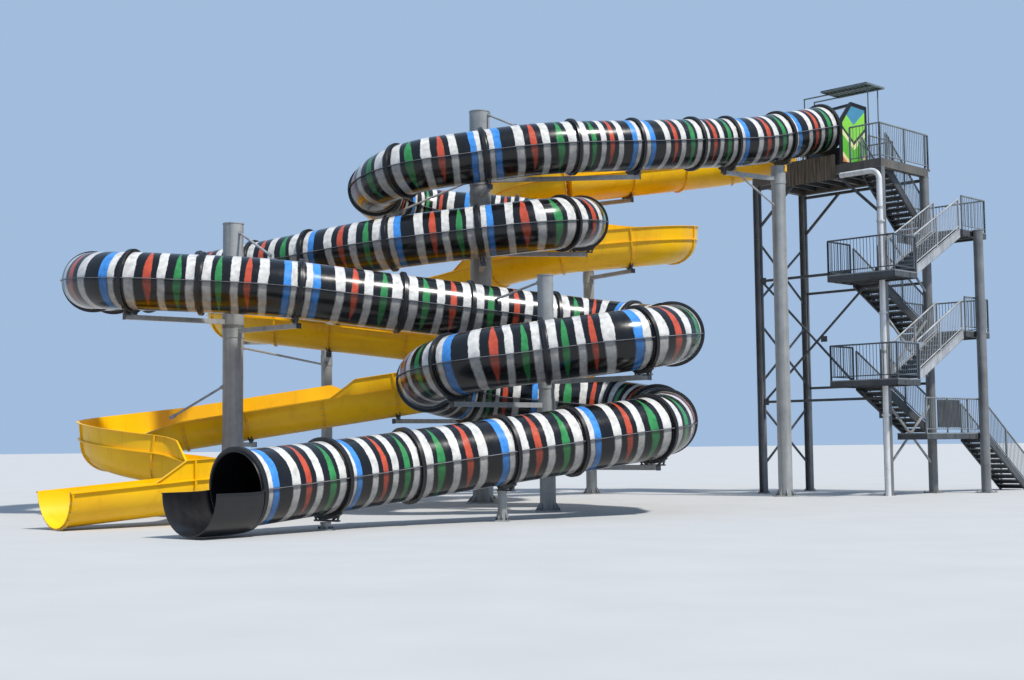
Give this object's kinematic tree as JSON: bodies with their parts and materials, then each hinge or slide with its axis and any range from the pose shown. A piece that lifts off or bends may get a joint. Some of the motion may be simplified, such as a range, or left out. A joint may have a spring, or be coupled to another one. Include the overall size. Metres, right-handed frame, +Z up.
{
  "type": "water slide tower",
  "caption": "Steel stair tower with a start deck, a closed tube slide and an open flume slide winding down past round steel columns.",
  "frame": {"origin": "underside of the foot plate of the tower's front column, on the ground", "axes": "+Z up, +X along the long slide runs from the slide exits towards the tower, +Y away from the side the slides come out on; the square tower stands turned 45 degrees about +Z"},
  "size_m": [28.7612, 25.3362, 13.095],
  "materials": {
    "black_shell": "gloss",
    "yellow_shell": "gloss",
    "grey_steel": "satin",
    "dark_steel": "satin",
    "bright_pipe": "satin",
    "boards": "matt",
    "green_sheet": "satin"
  },
  "bodies": {
    "root": {"tube_run_1": "black_shell", "tube_turn_1": "black_shell", "tube_turn_2": "black_shell", "tube_run_2": "black_shell", "tube_turn_3": "black_shell", "tube_run_3": "black_shell", "tube_turn_4": "black_shell", "tube_run_4": "black_shell", "tube_turn_5": "black_shell", "tube_turn_6": "black_shell", "tube_run_5": "black_shell", "exit_trough": "black_shell", "start_booth": "black_shell", "flume_run_1": "yellow_shell", "flume_turn_1": "yellow_shell", "flume_turn_2": "yellow_shell", "flume_run_2": "yellow_shell", "flume_turn_3": "yellow_shell", "flume_run_3": "yellow_shell", "flume_turn_4": "yellow_shell", "flume_run_4": "yellow_shell", "flume_turn_5": "yellow_shell", "flume_turn_6": "yellow_shell", "flume_run_5": "yellow_shell", "slide_column_1": "grey_steel", "slide_column_2": "grey_steel", "slide_column_3": "grey_steel", "slide_column_4": "grey_steel", "slide_column_5": "grey_steel", "slide_column_6": "grey_steel", "slide_column_7": "grey_steel", "slide_column_8": "grey_steel", "slide_column_9": "grey_steel", "column_front": "grey_steel", "column_left": "grey_steel", "column_rear": "grey_steel", "column_right": "grey_steel", "stair_column": "grey_steel", "deck_rail_right": "grey_steel", "deck_rail_rear": "grey_steel", "bracing_front": "dark_steel", "bracing_rear": "dark_steel", "bracing_left": "dark_steel", "bracing_right": "dark_steel", "deck": "dark_steel", "landing_1": "dark_steel", "landing_2": "dark_steel", "landing_3": "dark_steel", "landing_4": "dark_steel", "landing_5": "dark_steel", "flight_1": "dark_steel", "flight_2": "dark_steel", "flight_3": "dark_steel", "flight_4": "dark_steel", "flight_5": "dark_steel", "flight_6": "dark_steel", "riser_pipe": "bright_pipe", "board_screen": "boards", "canopy": "green_sheet"}
  },
  "joints": []
}
